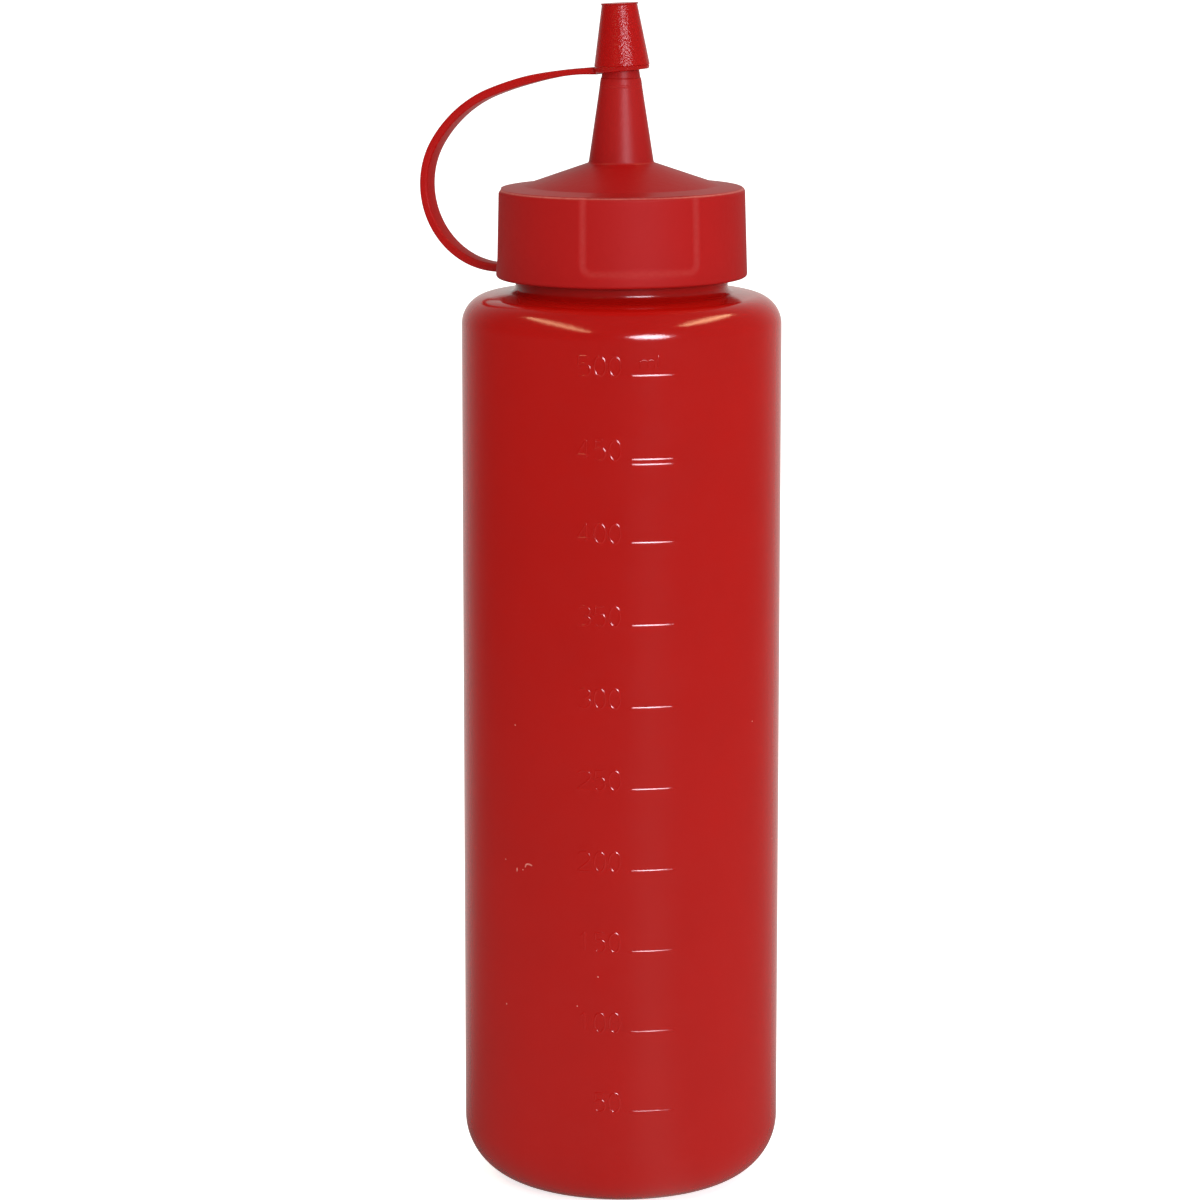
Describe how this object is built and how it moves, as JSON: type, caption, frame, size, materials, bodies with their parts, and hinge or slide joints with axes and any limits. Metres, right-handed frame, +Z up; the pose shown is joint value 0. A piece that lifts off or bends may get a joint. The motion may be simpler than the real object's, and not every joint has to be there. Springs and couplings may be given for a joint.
{
  "type": "squeeze bottle",
  "caption": "Opaque squeeze bottle with raised volume lines, a screwed-on nozzle cap and a small tip cap held by a curved strap.",
  "frame": {"origin": "middle of the base, on the face that the bottle stands on", "axes": "+Z up the bottle's axis to the nozzle, -Y towards the front with the volume lines, -X towards the strap"},
  "size_m": [0.0728, 0.0642, 0.2395],
  "materials": {
    "bottle_plastic": "satin",
    "cap_plastic": "satin",
    "tip_plastic": "gloss"
  },
  "bodies": {
    "root": {"bottle": "bottle_plastic", "screw_cap": "cap_plastic", "tip_cap": "tip_plastic"}
  },
  "joints": []
}
